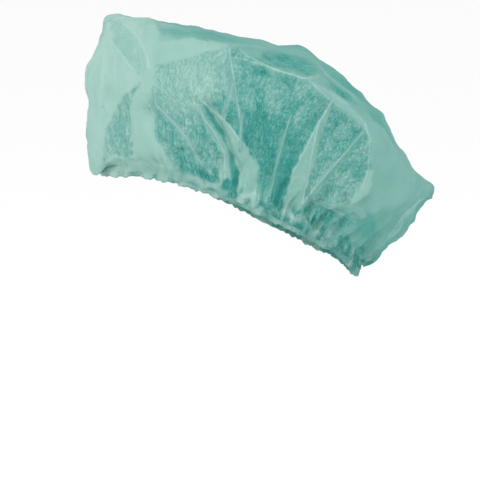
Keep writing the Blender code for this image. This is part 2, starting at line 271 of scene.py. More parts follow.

# the dark tones where the cloth lies close, in the hollows, beside the pleats and under the low fold are
# painted shade
# name, outline, softness in mm, tone from 0 dark to 1 pale, mottling, height in mm
patches = (
    ("back of the cap", ((60, 132), (70, 112), (98, 80), (108, 50), (100, 20), (88, 0), (84, -50), (200, -50),
     (200, 140)), 10, .53, .10, 0),
    ("flat side", ((-52, 113), (-38, 117), (-18, 122), (0, 126), (24, 117), (52, 103), (74, 88), (98, 71),
     (102, 58), (103, 44), (101, 33), (96, 22), (88, 16), (54, -8), (30, 5), (-10, 23), (-40, 42),
     (-53, 60), (-54, 84)), 1.6, .36, 1.0, -1.2),
    ("paler upper part", ((-54, 114), (-28, 123), (0, 127), (2, 110), (-3, 97), (-12, 89), (-30, 76),
     (-48, 78)), 7, .66, .7, 0),
    ("right of the forked crease", ((4, 122), (24, 116), (52, 103), (40, 88), (14, 92)), 6, .30, .9, 0),
    ("darker middle", ((-14, 72), (0, 84), (24, 86), (44, 74), (60, 56), (50, 14), (24, 12), (10, 40)),
     12, .10, .8, 0),
    ("paler towards the back", ((62, 30), (74, 66), (92, 62), (98, 40), (84, 20)), 9, .42, 1.0, 0),
    ("long drop", ((-63, 101), (-77, 91), (-84, 79), (-89, 65), (-92, 47), (-69, 47), (-70, 62),
     (-73, 76), (-70, 89)), 1.3, .60, .8, -1.4),
    ("small drop", ((-62, 92), (-54, 92), (-54, 82), (-60, 76)), 1.2, .58, .7, -1.0),
    ("front facet", ((-86, 148), (-75, 144), (-66, 133), (-60, 123), (-59, 115), (-65, 105), (-73, 114),
     (-86, 130)), 1.6, .76, .3, -1.2),
    ("top strip", ((-53, 152), (-21, 146), (16, 136), (52, 131), (76, 116), (74, 104), (52, 118), (16, 127),
     (-21, 135), (-53, 139)), 4.5, .30, .25, 0),
    ("crescent", ((-51, 132), (-28, 133), (-3, 130), (12, 127), (0, 126), (-18, 122), (-38, 117), (-52, 113)),
     1.2, .80, .05, .8),
    ("strip behind", ((54, 128), (74, 113), (89, 100), (98, 90), (108, 84), (98, 86), (85, 95), (70, 108),
     (56, 119)), 1.4, .26, .3, 0),
    ("strip over the slope", ((98, 90), (108, 85), (113, 76), (113, 68), (105, 73), (101, 82)), 1.4, .26,
     .2, 0),
    ("hollow above the shelf", ((25, 124), (38, 123), (53, 119), (66, 111), (64, 108), (56, 106), (46, 109),
     (32, 114), (24, 119)), 1.2, .22, .6, -1.0),
    ("deepest of the hollow", ((33, 124), (44, 121), (46, 116), (38, 115)), 1.6, .02, .5, 0),
    ("hollow behind the shelf", ((70, 105), (85, 94), (94, 84), (83, 89), (73, 99)), 1.2, .18, .6, -1.0),
    ("inside the forked crease", ((0, 126), (5, 88), (1, 88)), .8, .62, .4, 0),
    ("deep middle", ((32, 14), (34, 30), (42, 52), (52, 52), (49, 36), (40, 12)), 3.0, .05, .5, -1.4),
    ("deep spot", ((19, 64), (19, 76), (26, 77), (27, 64)), 3.0, .06, .6, -.8),
    ("lower back", ((97, 6), (108, 4), (129, 14), (149, 23), (156, 10), (130, -14), (105, -36), (88, -38),
     (87, -20), (95, -3)), 2.5, .42, .15, 0),
    ("plain low down", ((63, -8), (74, 0), (92, -4), (96, -28), (86, -26), (74, -16)), 2.0, .38, .3, 0),
    ("under the low fold", ((56, 8), (61, 12), (76, 7), (81, 4), (74, 0), (69, -3), (63, -8), (57, -7)),
     1.0, .22, .9, -.8),
    ("beside the low fold", ((80, 2), (85, 5), (92, 2), (91, -3), (81, -5)), 1.0, .20, .6, -.6),
    ("spot over the rim", ((65, -10), (71, -10), (71, -14), (66, -14)), 1.2, .10, .6, 0),
    ("pale corner", ((100, 37), (97, 27), (93, 21), (87, 14), (89, 12), (97, 14), (102, 20), (105, 26),
     (105, 37)), .9, .73, .1, .6),
    ("back patch", ((92, 0), (97, 5), (107, 4), (108, -11), (100, -14), (93, -9)), 3.0, .26, .1, -.6),
    ("low dark", ((72, -16), (80, -17), (88, -21), (86, -26), (76, -23)), 1.4, .18, .5, -.6),
    ("lowest corner", ((84, -29), (90, -26), (100, -31), (96, -42), (92, -44), (86, -40)), 2.0, .20, .6, 0),
)

# corners and hollows of the outline, seen from the cap's left: along, up, radius and height in mm
bumps = (
    ("corner at the top", -86, 151, 9, -1.2),
    ("front of the corner", -97, 141, 12, -3.6),
    ("hollow under the corner", -102, 127, 22, -6.6),
    ("front, high up", -108, 104, 15, -1.8),
    ("step in the front", -106, 88, 9, -1.4),
    ("front over the hem", -105, 60, 22, 2.0),
    ("foot of the front", -103, 42, 13, 3.6),
    ("top", -33, 149, 15, -1.2),
    ("top at the back", 40, 134, 18, -3.8),
    ("shoulder of the back", 110, 77, 13, 2.4),
    ("over the tip", 148, 31, 8, -1.8),
    ("tip at the back", 150, 21, 10, 3.2),
    ("hollow above the tip", 140, 42, 17, -5.6),
    ("slope above the tip", 127, 55, 18, -3.6),
    ("hollow below the tip", 140, 9, 11, -1.4),
    ("low back", 134, 1, 17, 3.4),
    ("beside the lowest corner", 105, -27, 15, 5.0),
)
# gathers that hang low at the back and at the foot of the front, seen the same way
clump = {"along": 93.0, "up": -38.0, "reach": 11.0, "drop": 0.0075}
backDroop = {"along": 98.0, "up": -32.0, "reach": 8.0, "drop": 0.0085}
droop = {"along": -100.0, "up": 41.0, "reach": 10.0, "drop": 0.0130}


def bumpField(place, along, up, radius, height):
    # hollows are round, raised corners are pointed
    near = np.clip(1 - np.hypot(place[..., 0] - along, place[..., 1] - up) / radius, 0.0, 1.0)
    return height * (near if height > 0 else ramp(0.0, 1.0, near))


def sagField(seen, sag):
    away = np.hypot(seen[..., 0] - sag["along"], seen[..., 1] - sag["up"])
    return np.exp(-(away / sag["reach"]) ** 2)


def segmentParts(place, start, end):
    # distance to a segment, place along it from 0 to 1, and on which side
    line = np.array(end, float) - np.array(start, float)
    offset = place - np.array(start, float)
    step = np.clip((offset @ line) / (line @ line), 0.0, 1.0)
    away = np.linalg.norm(offset - step[..., None] * line, axis=-1)
    left = line[0] * offset[..., 1] - line[1] * offset[..., 0] > 0
    return away, step, left


def strokeField(place, line, left, right):
    # share of the half width away from the line, mm outside its edge, and on which side
    nearest = np.full(place.shape[:-1], 1e9)
    outside = np.full(place.shape[:-1], 1e9)
    onLeft = np.zeros(place.shape[:-1], bool)
    for (x0, y0, w0), (x1, y1, w1) in zip(line, line[1:]):
        away, step, side = segmentParts(place, (x0, y0), (x1, y1))
        half = np.where(side, left, right) * (w0 + (w1 - w0) * step)
        onLeft = np.where(away / half < nearest, side, onLeft)
        nearest = np.minimum(nearest, away / half)
        outside = np.minimum(outside, away - half)
    return nearest, outside, onLeft


def patchField(place, outline, softness):
    # 1 inside the outline and 0 outside, softened over its edge
    away = np.full(place.shape[:-1], 1e9)
    inside = np.zeros(place.shape[:-1], bool)
    x, y = place[..., 0], place[..., 1]
    for (x0, y0), (x1, y1) in zip(outline, outline[1:] + outline[:1]):
        away = np.minimum(away, segmentParts(place, (x0, y0), (x1, y1))[0])
        if y0 != y1:
            crossed = ((y0 > y) != (y1 > y)) & (x < (x1 - x0) * (y - y0) / (y1 - y0) + x0)
            inside ^= crossed
    return ramp(-softness, softness, np.where(inside, away, -away))


def noiseField(points, size, seed):
    # soft noise from -1 to 1 with features of that size in metres
    flat = points.reshape(-1, 3) / size + seed
    return np.array([noise.noise(Vector(p)) for p in flat.tolist()]).reshape(points.shape[:-1])


# Ruffles of the gathered edge, shared by the cloth and the hem

ruffles = {
    "fine": 104,             # small ruffles round the opening, about 5.5 mm apart
    "coarse": 43,
    "broad": 22,
    "hemDepth": 0.0013,      # how far the hem's ruffles stand out
}


def ruffle(around):
    # uneven ruffles round the opening, from 0 to 1
    sway = (0.05 * np.cos(3 * around) + 0.03 * np.sin(7 * around) + 0.014 * np.sin(19 * around)
            + 0.006 * np.sin(47 * around + 1))
    fine = np.sin(ruffles["fine"] * (around + sway)) * (0.7 + 0.4 * np.sin(13 * around + 40 * sway))
    coarse = np.sin(ruffles["coarse"] * (around + sway) + 1.3)
    return np.clip(0.5 + 0.34 * fine + 0.22 * coarse, 0.0, 1.0)


# The crown: one round sheet of thin cloth

crown = {
    "columns": 640, "rows": 176,
    "halvedFrom": 0.50,      # above this share every second column is dropped
    "sideDensity": 0.16,     # columns stand closer together at the sides
    "firstRow": 0.042,       # the share at which the rows above the hem start
    "rowBend": 0.45,         # rows stand closer together near the hem
    "pressedDepth": 0.0050, "pressedAt": (21, 66), "pressedHalf": (88, 78),
    "gatherDepth": 0.0060, "gatherEnd": 0.44, "farGatherEnd": 0.22,
    "fineDepth": 0.0046, "fineEnd": 0.30,
    "middleDepth": 0.0027, "crumple": 0.0011, "crumpleSize": 0.014,
    "crinkle": 0.0019, "crinkleSize": 0.0040,
    "dent": 0.0016, "dentSize": 0.034,
    "backDepth": 0.0085,     # deeper gathers at the middle of the back
    "ragged": 1.3, "raggedSize": 0.0045,     # edges of the tones wander by this, in mm
    "cloudSize": 0.030, "speckleSize": 0.0065,
    "plainMottle": 0.22,     # flecks where the cloth is plain
    "backWave": 0.0013, "backWaveSize": 0.0085,
    "overHem": 0.0024,       # the cloth lies this far out over the middle of the hem
    "edgeWave": 0.0012,
    "cutWidth": 0.530,       # the round is cut 530 mm across
    "clothArea": 0.1948,     # what is left of it above the hem, which takes 16 mm all round
}


def toneFields(place):
    # how pale the cloth is, painted shade and painted edge highlights included, and how flecked, by place on
    # the side view
    tone = 0.50 + 0.40 * (1 - ramp(-70, -30, place[..., 0]))
    mottle = np.full_like(tone, 0.12)
    for name, outline, softness, level, grain, height in patches:
        mask = patchField(place, outline, softness)
        tone += (level - tone) * mask
        mottle += (grain - mottle) * mask
    for name, line, left, right, flat, rise, level, edge in strokes:
        if level is not None:
            outside, onLeft = strokeField(place, line, left, right)[1:]
            band = 1 - ramp(-0.9, 0.7, outside)
            tone += (level - tone) * band
            mottle *= 1 - 0.8 * band
            # painted highlight along one edge of each fold and painted shade along the other
            edgeLightAndShade = np.exp(-((outside + 0.6) / 0.9) ** 2)
            tone += edge * edgeLightAndShade * np.where(onLeft, 0.5, -0.5)
    return tone, mottle


def wornSheet(c):
    # every corner of the round cut laid on the worn form, with what folds and tones go by
    theta = 2 * math.pi * np.arange(c["columns"]) / c["columns"]
    around = theta + c["sideDensity"] * np.sin(2 * theta)
    step = np.linspace(0.0, 1.0, c["rows"] - 2)
    climb = c["firstRow"] + (1 - c["firstRow"]) * ((1 - c["rowBend"]) * step + c["rowBend"] * step ** 3)
    shares = np.concatenate(([0.0, hemShare / 2, hemShare], climb))
    rings = realRings()
    points = np.array([ringPoints(ringAt(rings, share), around) for share in shares])
    points[-1] = points[-1, 0]
    ringwise = np.roll(points, -1, axis=1) - np.roll(points, 1, axis=1)
    outward = np.cross(ringwise, np.gradient(points, axis=0))
    outward /= np.linalg.norm(outward, axis=-1, keepdims=True) + 1e-12
    outward[-1] = (0, 0, 1)
    share = shares[:, None] + 0 * around
    around = around[None, :] + 0 * share
    place = onSideView(points)
    # below 1 where the side is flat, above 1 where the cloth stands free
    pressed = np.hypot(*((place[..., i] - c["pressedAt"][i]) / c["pressedHalf"][i] for i in (0, 1)))
    return SimpleNamespace(points=points, outward=outward, share=share, around=around, place=place,
                           along=place[..., 0], seen=onSideView(points, mirrored=False), pressed=pressed,
                           farSide=ramp(0.1, 0.5, -np.sin(around)), faded=1 - ramp(0.86, 0.99, share))


def drawnFolds(c, s):
    # the flat side, raised and sunk patches, the folds, and the corners of the outline
    lift = -c["pressedDepth"] * (1 - ramp(0.6, 1.05, s.pressed))
    for name, outline, softness, level, grain, height in patches:
        if height:
            lift += height * mm * patchField(s.place, outline, softness)
    for name, line, left, right, flat, rise, level, edge in strokes:
        if rise:
            lift += rise * mm * (1 - ramp(flat, 1.15, strokeField(s.place, line, left, right)[0]))
    lift = lift * ramp(0.035, 0.15, s.share) * s.faded
    for name, along, up, radius, height in bumps:
        lift += mm * bumpField(s.seen, along, up, radius, height) * ramp(0.03, 0.06, s.share)
    return lift


def gathers(c, s):
    # the front and the flat side are gathered less than the back
    free = np.maximum(0.22 + 0.78 * ramp(0.55, 1.1, s.pressed), 2.0 * s.farSide)
    gathered = 0.12 + 0.88 * ramp(-60, 5, s.along) * free
    gathered *= 1 - 0.5 * ramp(95, 125, s.along) * (1 - s.farSide)
    lowBack = ramp(0.62, 0.86, -np.cos(s.around)) * (0.15 + 0.85 * s.farSide)
    # sharp ridges with round valleys between them, of uneven length
    turned = s.around + 0.05 * np.cos(3 * s.around) + 0.03 * np.sin(7 * s.around)
    broad = np.abs(np.sin(0.5 * ruffles["broad"] * turned))
    length = 1 + 0.22 * np.sin(5 * s.around + 1) + 0.20 * np.sin(11.5 * turned) + 0.12 * np.sin(23 * s.around)
    ending = 1 - ramp(0.18, c["gatherEnd"] + c["farGatherEnd"] * s.farSide, s.share / length)
    deep = c["gatherDepth"] * gathered + c["backDepth"] * lowBack
    lift = -deep * broad * ramp(0.03, 0.20, s.share) * ending
    middling = np.sin(ruffles["coarse"] * turned + 0.7 * np.sin(9 * s.share * math.pi))
    lift += c["middleDepth"] * (gathered + 0.8 * lowBack) * middling * ramp(0.04, 0.10, s.share) * ending
    # small ruffles along the hem, some of which reach further up
    fine = (ruffle(s.around) - 0.5) * 2 * (0.25 + 0.75 * gathered)
    reachUp = c["fineEnd"] * (0.6 + 0.8 * ruffle(s.around + 0.4))
    further = (1 - ramp(0.3, 1.0, s.share / reachUp)) * ramp(0.03, 0.06, s.share)
    nearHem = ramp(0.03, 0.05, s.share) * (1 - ramp(0.05, 0.16, s.share))
    lift += c["fineDepth"] * fine * (0.35 * further + 0.65 * nearHem)
    lift += (c["overHem"] + ruffles["hemDepth"] * ruffle(s.around)) * (1 - ramp(0.032, 0.060, s.share))
    return lift, gathered, fine


def clothTones(c, s, lift, gathered, fine, speckle):
    # tone and mottling of every corner, and how much of the side view's pattern shows there
    ragged = np.stack([noiseField(s.points, c["raggedSize"], seed) for seed in (2.9, 8.3)], axis=-1)
    tone, mottle = toneFields(onSideView(s.points + s.outward * lift[..., None]) + c["ragged"] * ragged)
    # top and back are seen edge on in that view, so there the cloth is plain with broad clouds
    toward = s.outward.copy()
    toward[..., 0] *= np.sign(s.points[..., 0])
    sideOn = ramp(0.14, 0.36, toward @ np.array(viewFrom(camera)))
    # and on the far side of the front the pattern is fainter
    sideOn *= 1 - 0.75 * ramp(0.0, sideView["farFrom"], -s.points[..., 0]) * (1 - ramp(-60, -20, s.along))
    plain = 0.44 + 0.44 * (1 - ramp(-70, -30, s.along)) + 0.14 * noiseField(s.points, c["cloudSize"], 5.5)
    plain -= 0.17 * np.exp(-((s.along - 90) / 24) ** 2)
    tone = plain + (tone - plain) * sideOn
    mottle = c["plainMottle"] + (mottle - c["plainMottle"]) * sideOn
    # painted shade between two ruffles, with dark and pale spots along the edge
    ruffleValleyShade = np.clip(0.3 - fine, 0, 1) * (1 - ramp(0.04, 0.12, s.share)) * np.clip(0.4 + 1.6 * speckle, 0, 1)
    tone -= 0.45 * ruffleValleyShade * (0.3 + 0.7 * gathered)
    rim = (1 - ramp(0.050, 0.105, s.share)) * ramp(-45, 0, s.along)
    tone += (0.22 * ramp(0.05, 0.35, -speckle) - 0.48 * ramp(0.0, 0.30, speckle)) * rim
    mottle += 0.4 * (1 - ramp(0.03, 0.12, s.share)) * gathered
    return tone, mottle, sideOn


def crumples(c, s, wrinkle, mottle):
    # broad shallow dents where the cloth stands free, wrinkles, crinkles and a wavy low back
    dent = 0.45 - 2.4 * np.abs(noiseField(s.points, c["dentSize"], 4.4))
    lift = c["dent"] * dent * (0.15 + 0.85 * ramp(0.7, 1.2, s.pressed)) * ramp(0.05, 0.2, s.share) * s.faded
    sharp = np.clip(1 - np.abs(noiseField(s.points, c["crumpleSize"] * 1.7, 9.1)) * 3, -1, 1)
    lift += c["crumple"] * (0.6 * wrinkle + 0.6 * sharp) * ramp(0.05, 0.15, s.share) * s.faded
    lift += c["crinkle"] * mottle * noiseField(s.points, c["crinkleSize"], 1.3) * s.faded
    wavy = ramp(95, 118, s.along) * (1 - ramp(2, 24, s.place[..., 1])) * ramp(0.05, 0.12, s.share)
    return lift + c["backWave"] * wavy * noiseField(s.points, c["backWaveSize"], 6.1)


def clothField(c):
    # places and attributes of every corner of the crown
    s = wornSheet(c)
    speckle = noiseField(s.points, c["speckleSize"], 7.7)
    wrinkle = noiseField(s.points, c["crumpleSize"], 3.7)
    gatherLift, gathered, fine = gathers(c, s)
    lift = drawnFolds(c, s) + gatherLift
    tone, mottle, sideOn = clothTones(c, s, lift, gathered, fine, speckle)
    lift += crumples(c, s, wrinkle, mottle)
    points = s.points + s.outward * lift[..., None]
    points[0, :, 2] += c["edgeWave"] * (speckle[0] + 0.5 - ruffle(s.around[0]))
    for sag in (droop, backDroop):
        points[..., 2] -= sag["drop"] * sagField(s.seen, sag) * ramp(0.01, 0.04, s.share)
    hanging = sagField(s.seen, clump) * (1 - ramp(0.03, 0.075, s.share))
    points[..., 2] -= clump["drop"] * hanging * (0.8 + 0.5 * speckle)
    points[-1] = points[-1].mean(axis=0)
    # paler where the wrinkles stand out, a painted highlight, and darker in the hanging clump, painted shade
    tone += 0.06 * wrinkle - 0.3 * hanging
    return points, s.share, s.around, np.clip(tone, 0, 1), np.clip(mottle, 0, 1), sideOn


def mappedGrid(columns, rows):
    # a flat grid whose first and last columns will meet, and each corner's column and row
    mesh = bmesh.new()
    bmesh.ops.create_grid(mesh, x_segments=columns, y_segments=rows, size=1.0)
    spots = [(round((v.co.x + 1) / 2 * columns), round((v.co.y + 1) / 2 * rows)) for v in mesh.verts]
    return mesh, spots


def finishMesh(name, mesh, smooth=True):
    data = bpy.data.meshes.new(name)
    mesh.to_mesh(data)
    mesh.free()
    if smooth:
        data.shade_smooth()
    made = bpy.data.objects.new(name, data)
    bpy.context.scene.collection.objects.link(made)
    return made


def makeCrown(c):
    points, share, around, tone, mottle, sideOn = clothField(c)
    mesh, spots = mappedGrid(c["columns"], c["rows"])
    toneLayer = mesh.verts.layers.float.new("tone")
    mottleLayer = mesh.verts.layers.float.new("mottle")
    creasedLayer = mesh.verts.layers.float.new("creased")
    uvLayer = mesh.loops.layers.uv.new("cloth")
    for corner, (column, row) in zip(mesh.verts, spots):
        wrapped = column % c["columns"]
        corner.co = points[row, wrapped]
        corner[toneLayer] = tone[row, wrapped]
        corner[mottleLayer] = mottle[row, wrapped]
        corner[creasedLayer] = sideOn[row, wrapped]
    # the columns crowd together towards the top, so there each odd one is joined to the next
    placed = {spot: corner for corner, spot in zip(mesh.verts, spots)}
    joined = {placed[column, row]: placed[column + 1, row] for column, row in placed
              if column % 2 and share[row, 0] > c["halvedFrom"]}
    bmesh.ops.weld_verts(mesh, targetmap=joined)
    # the UV map is the flat round cut, in metres from its middle
    half = c["cutWidth"] / 2
    spotOf = {corner: spot for spot, corner in placed.items() if corner.is_valid}
    for face in mesh.faces:
        for loop in face.loops:
            column, row = spotOf[loop.vert]
            radius = half * (1 - share[row, 0])
            turned = around[0, column % c["columns"]]
            loop[uvLayer].uv = (radius * math.sin(turned), -radius * math.cos(turned))
    bmesh.ops.remove_doubles(mesh, verts=mesh.verts, dist=0.00001)
    bmesh.ops.recalc_face_normals(mesh, faces=mesh.faces)
    return finishMesh("crown_cloth", mesh)


crownCloth = makeCrown(crown)
print("crown cloth:", len(crownCloth.data.polygons), "faces")


# The hem: the cloth's edge folded round the elastic, ruffled all round

hem = {
    "columns": 720,
    "channelHalf": 0.0009, "wall": 0.0006, "top": 0.0070,
    "footWave": 0.0016,      # the folded edge waves up and down by this much
    "cloth": 0.0003,
}


def makeHem(h):
    outer = h["channelHalf"] + h["wall"]
    # out, up, how far it follows the ruffles, how far it waves
    section = (
        (outer - 0.0004, h["top"] + 0.0004, 0.85, 0.0), (outer, h["top"] - 0.0006, 0.95, 0.0),
        (outer + 0.0003, 0.0058, 1.0, 0.1), (outer + 0.0004, 0.0040, 1.0, 0.3),
        (outer + 0.0003, 0.0022, 1.0, 0.7), (outer, 0.0010, 1.0, 1.0),
        (outer - 0.0006, 0.0002, 0.8, 1.0), (0.0, 0.0, 0.4, 1.0),
        (-outer + 0.0006, 0.0002, -0.2, 1.0), (-outer, 0.0010, -0.4, 1.0),
        (-outer, 0.0040, -0.4, 0.3), (-outer, h["top"], -0.3, 0.0),
    )
    oval = np.array(hemRing(0.0, 0.0))
    around = 2 * math.pi * np.arange(h["columns"]) / h["columns"]
    centre = ringPoints(oval, around)
    along = np.roll(centre, -1, axis=0) - np.roll(centre, 1, axis=0)
    upright = np.array((0.0, math.sin(opening["slope"]), math.cos(opening["slope"])))
    outward = np.cross(along, upright)
    outward /= np.linalg.norm(outward, axis=1, keepdims=True)
    uneven = noiseField(centre, 0.008, 5.2)
    waved = ruffle(around + 0.02) + 0.8 * uneven
    place = onSideView(centre)
    hanging = sagField(onSideView(centre, mirrored=False), clump)
    tones = 0.60 + 0.10 * (1 - ramp(-75, -40, place[:, 0])) - 0.18 * ramp(20, 95, place[:, 0])
    mesh, spots = mappedGrid(h["columns"], len(section) - 1)
    toneLayer = mesh.verts.layers.float.new("tone")
    mottleLayer = mesh.verts.layers.float.new("mottle")
    for corner, (column, row) in zip(mesh.verts, spots):
        out, up, follow, wave = section[row]
        at = column % h["columns"]
        bulge = out + follow * ruffles["hemDepth"] * ruffle(around[at])
        lift = up + wave * h["footWave"] * (0.5 - waved[at])
        drop = clump["drop"] * hanging[at] * wave
        corner.co = centre[at] + outward[at] * bulge + upright * lift - np.array((0.0, 0.0, drop))
        # paler on the crests of the ruffles, a painted highlight, and uneven at random
        corner[toneLayer] = tones[at] + 0.1 * (ruffle(around[at]) - 0.5) + 0.6 * uneven[at]
        corner[mottleLayer] = 0.6
    bmesh.ops.remove_doubles(mesh, verts=mesh.verts, dist=0.00001)
    bmesh.ops.recalc_face_normals(mesh, faces=mesh.faces)
    made = finishMesh("hem_cloth", mesh)
    wall = made.modifiers.new("cloth", "SOLIDIFY")
    wall.thickness = h["cloth"]
    wall.offset = 0.0
    return made


hemCloth = makeHem(hem)
print("hem:", len(hemCloth.data.polygons), "faces")


# Thin creases are finer than the mesh, so the material draws them on the same side view, as painted
# highlights along them

# from, to, half width in mm, how much paler
creases = (
    (-86, 131, -73, 114, .7, .22), (-73, 114, -63, 102, .6, .18), (-87, 148, -91, 118, 1.0, .16),
    (-91, 118, -93, 92, .8, .14), (-77, 144, -66, 133, .6, .14), (-66, 133, -60, 122, .6, .16),
    (-60, 122, -58, 112, .6, .14), (0, 126, 4, 104, .7, .34), (4, 104, 8, 76, .6, .30),
    (8, 76, 9, 52, .5, .22), (3, 100, -4, 70, .5, .26), (-23, 89, -18, 74, .6, .36),
    (-18, 74, -8, 60, .6, .32), (-8, 60, -3, 50, .6, .30), (-3, 50, -3, 30, .5, .24),
    (-21, 88, -2, 72, .6, .34), (-2, 72, 9, 58, .6, .32), (9, 58, 18, 50, .6, .26),
    (18, 50, 22, 36, .5, .22), (22, 36, 21, 13, .5, .22), (46, 78, 39, 54, .6, .34),
    (39, 54, 33, 34, .6, .34), (33, 34, 30, 18, .6, .28), (76, 88, 66, 72, .6, .34),
    (66, 72, 60, 46, .5, .30), (60, 46, 54, 12, .5, .30), (75, 88, 46, 34, .5, .22),
    (98, 64, 80, 44, .7, .30), (80, 44, 60, 20, .7, .34), (60, 20, 54, 12, .6, .30),
    (-54, 97, -53, 84, .6, .24), (-53, 84, -41, 72, .7, .34), (-41, 72, -30, 60, .6, .28),
    (-30, 60, -23, 46, .5, .24), (-23, 46, -12, 34, .5, .24), (61, 14, 76, 8, .5, .28),
    (76, 8, 93, -1, .5, .24), (5, 119, 19, 115, .6, .26), (19, 115, 32, 111, .6, .28),
    (32, 111, 46, 107, .7, .28), (46, 107, 54, 104, .7, .26), (54, 104, 62, 105, .6, .22),
    (8, 125, 13, 120, .5, .24), (13, 120, 32, 111, .5, .24), (59, 102, 72, 90, .5, .26),
    (72, 90, 81, 83, .5, .20), (70, 108, 98, 86, .5, .22), (100, 70, 103, 58, .5, .24),
    (103, 58, 102, 38, .5, .24), (102, 38, 97, 23, .5, .24), (146, 19, 128, 4, .7, .22),
    (128, 4, 112, -20, .6, .20),
)


def creaseHighlights(tree, place, lines):
    # painted highlight: how much paler the cloth is for each crease, from the distance to its line
    best = None
    for x0, y0, x1, y1, half, paler in lines:
        run = Vector((x1 - x0, y1 - y0, 0.0))
        offset = addNode(tree, "ShaderNodeVectorMath", {"operation": "SUBTRACT", 1: (x0, y0, 0.0)},
                         {0: place}).outputs["Vector"]
        perLength = run / run.length_squared
        step = addNode(tree, "ShaderNodeVectorMath", {"operation": "DOT_PRODUCT", 1: perLength},
                       {0: offset}).outputs["Value"]
        # nothing is added, so this only keeps the step between 0 and 1
        step = addNode(tree, "ShaderNodeMath", {"operation": "ADD", "use_clamp": True, 1: 0.0},
                       {0: step}).outputs[0]
        foot = addNode(tree, "ShaderNodeVectorMath", {"operation": "SCALE", 0: run}, {"Scale": step})
        away = addNode(tree, "ShaderNodeVectorMath", {"operation": "DISTANCE"},
                       {0: offset, 1: foot.outputs["Vector"]}).outputs["Value"]
        line = addNode(tree, "ShaderNodeMapRange",
                       {"interpolation_type": "SMOOTHSTEP", "From Min": half * 1.5, "From Max": 0.0,
                        "To Min": 0.0, "To Max": paler}, {"Value": away}).outputs[0]
        if best is None:
            best = line
        else:
            best = addNode(tree, "ShaderNodeMath", {"operation": "MAXIMUM"}, {0: best, 1: line}).outputs[0]
    return best


def sideViewNodes(tree, object3d):
    # what onSideView does, for the material
    turn, tilt = sideView["turn"], sideView["tilt"]
    parts = addNode(tree, "ShaderNodeSeparateXYZ", links={0: object3d})
    side = addNode(tree, "ShaderNodeMath", {"operation": "ABSOLUTE"}, {0: parts.outputs["X"]}).outputs[0]
    folded = addNode(tree, "ShaderNodeCombineXYZ", links={"X": side, "Y": parts.outputs["Y"],
                                                          "Z": parts.outputs["Z"]}).outputs[0]
    away = {
        "along": (math.sin(turn), math.cos(turn), 0.0),
        "up": (-math.cos(turn) * math.sin(tilt), math.sin(turn) * math.sin(tilt), math.cos(tilt)),
        "depth": (math.cos(turn) * math.cos(tilt), -math.sin(turn) * math.cos(tilt), math.sin(tilt)),
    }
    seen = {key: addNode(tree, "ShaderNodeVectorMath", {"operation": "DOT_PRODUCT", 1: Vector(way) * 1000},
                         {0: folded}).outputs["Value"] for key, way in away.items()}
    middle = (*sideView["centre"], 0.0)
    flat = addNode(tree, "ShaderNodeCombineXYZ", links={"X": seen["along"], "Y": seen["up"]}).outputs[0]
    flat = addNode(tree, "ShaderNodeVectorMath", {"operation": "SUBTRACT", 1: middle}, {0: flat}).outputs[0]
    left = addNode(tree, "ShaderNodeMath", {"operation": "SUBTRACT", 0: sideView["distance"]},
                   {1: seen["depth"]}).outputs[0]
    larger = addNode(tree, "ShaderNodeMath", {"operation": "DIVIDE", 0: sideView["distance"]},
                     {1: left}).outputs[0]
    flat = addNode(tree, "ShaderNodeVectorMath", {"operation": "SCALE"},
                   {0: flat, "Scale": larger}).outputs[0]
    far = addNode(tree, "ShaderNodeMapRange", {"interpolation_type": "SMOOTHSTEP", "From Min": 0.0,
                                               "From Max": -sideView["farFrom"]},
                  {"Value": parts.outputs["X"]}).outputs[0]
    shifted = addNode(tree, "ShaderNodeVectorMath",
                      {"operation": "MULTIPLY_ADD", 1: (*sideView["farShift"], 0.0), 2: middle},
                      {0: far}).outputs[0]
    return addNode(tree, "ShaderNodeVectorMath", {"operation": "ADD"}, {0: flat, 1: shifted}).outputs[0]


# Spunbond polypropylene nonwoven: matt, a little see-through, with fine white fibres. It looks
# pale where it stands free in folds; its darker flecked tone where it lies close is painted shade.

cloth = {
    "darkest": "#3a968f", "dark": "#60aba2", "middle": "#84b8b0", "pale": "#9fc9c0", "palest": "#b9d9d0",
    "roughness": 0.82, "ior": 1.49, "specular": 0.3, "throughShare": 0.4,
    # sizes are in metres and scales are features to a metre
    "driftScale": 28.0, "push": 0.012, "creasePush": 0.003,
    "fleckSize": 0.0006,     # real fibre clumps are finer and are drawn coarser to show
    "fleckStretch": 2.6, "fleckRange": (0.44, 0.60), "fleckLight": (-0.13, 0.22),
    "clumpScale": 130.0, "clumpRange": (0.34, 0.66), "clumpLight": (-0.20, 0.20),
    "streakSize": 0.007,     # thin wavy streaks where the cloth lies close
    "streakWidth": 0.05, "streakLight": 0.15,
    "wrinkleScale": 17.0, "wrinkleWidth": 0.008, "wrinkleLight": 0.07,
    "fibreSize": 0.0005, "bumpStrength": 0.4, "bumpHeight": 0.0004,
    # the cloth is drawn upright in front and leans back behind: place in metres and degrees
    "leanFront": (-0.05, -12), "leanBack": (0.09, 52), "leanCentre": (0.0, 0.02, 0.07),
}


def contourLines(tree, field, width, light):
    # thin pale lines where a noise passes its middle value
    offMiddle = addNode(tree, "ShaderNodeMath", {"operation": "SUBTRACT", 1: 0.5}, {0: field}).outputs[0]
    offMiddle = addNode(tree, "ShaderNodeMath", {"operation": "ABSOLUTE"}, {0: offMiddle}).outputs[0]
    return addNode(tree, "ShaderNodeMapRange",
                   {"interpolation_type": "SMOOTHSTEP", "From Min": width, "From Max": 0.0,
                    "To Min": 0.0, "To Max": light}, {"Value": offMiddle}).outputs[0]


